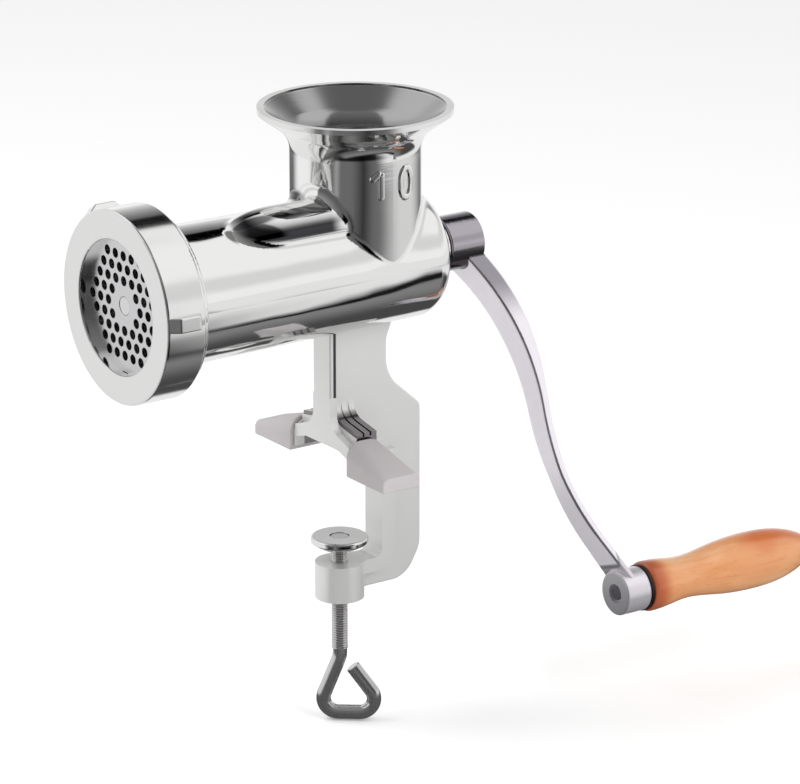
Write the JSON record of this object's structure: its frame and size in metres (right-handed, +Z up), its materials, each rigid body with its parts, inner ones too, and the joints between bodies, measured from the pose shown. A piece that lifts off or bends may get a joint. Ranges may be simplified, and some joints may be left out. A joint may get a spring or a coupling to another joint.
{
  "type": "manual meat grinder",
  "caption": "Table-clamped manual meat grinder with a flared hopper, a feed auger, knife and hole plate behind a screw ring, a cranked arm with a turned wooden grip, and a screw clamp.",
  "frame": {"origin": "where the axis of the clamp screw meets the table top that the two feet stand on", "axes": "+Z up, -Y along the barrel towards the discharge mouth, +Y towards the crank, +X to the right seen from the mouth"},
  "size_m": [0.1323, 0.3593, 0.3075],
  "materials": {
    "tinned_iron": "tin plated and polished",
    "steel": "zinc plated",
    "screw_steel": "bright plated",
    "tool_steel": "ground",
    "bush_bronze": "machined",
    "fibre": "smooth",
    "crank_iron": "brushed and plated",
    "lacquered_wood": "clear lacquer",
    "cap_rubber": "matt"
  },
  "bodies": {
    "casting": {"body_casting": "tinned_iron", "clamp_frame": "tinned_iron", "foot_yoke": "tinned_iron", "plate_key_pin": "steel", "bearing_bush": "bush_bronze", "thrust_washer": "fibre", "foot_cap_left": "cap_rubber", "foot_cap_right": "cap_rubber"},
    "crank": {"feed_auger": "tinned_iron", "auger_stud": "steel", "cutting_knife": "tool_steel", "crank_arm": "crank_iron", "crank_washer": "steel", "crank_screw": "steel", "handle_bolt": "steel", "handle_washer": "steel", "handle_end_washer": "steel"},
    "grip": {"handle_grip": "lacquered_wood"},
    "plate": {"grinding_plate": "tool_steel"},
    "ring": {"retaining_ring": "tinned_iron"},
    "pad": {"clamp_pad": "tinned_iron"},
    "screw": {"clamp_screw": "screw_steel", "pad_rivet": "steel"}
  },
  "joints": [
    {"name": "crank_turn", "type": "hinge", "parent": "casting", "child": "crank", "pos_m": [0, 0.0518, 0.0975], "axis": [0, 1, 0], "continuous": true},
    {"name": "grip_spin", "type": "hinge", "parent": "crank", "child": "grip", "pos_m": [0.06293, 0.185, -0.0754], "axis": [0, 1, 0], "continuous": true},
    {"name": "plate_slide", "type": "slide", "parent": "casting", "child": "plate", "axis": [0, -1, 0], "range_m": [0, 0.0136]},
    {"name": "ring_turn", "type": "hinge", "parent": "plate", "child": "ring", "pos_m": [0, -0.1135, 0.0975], "axis": [0, -1, 0], "range_deg": [0, 1620]},
    {"name": "pad_travel", "type": "slide", "parent": "casting", "child": "pad", "axis": [0, 0, 1], "range_m": [-0.00625, 0.025]},
    {"name": "screw_turn", "type": "hinge", "parent": "pad", "child": "screw", "pos_m": [0, 0, -0.061], "axis": [0, 0, 1], "range_deg": [-1802, 7202]}
  ],
  "couplings": [
    {"joint": "plate_slide", "follows": "ring_turn", "m_per_rad": 0.00047746},
    {"joint": "screw_turn", "follows": "pad_travel", "rad_per_m": 5026.5}
  ]
}
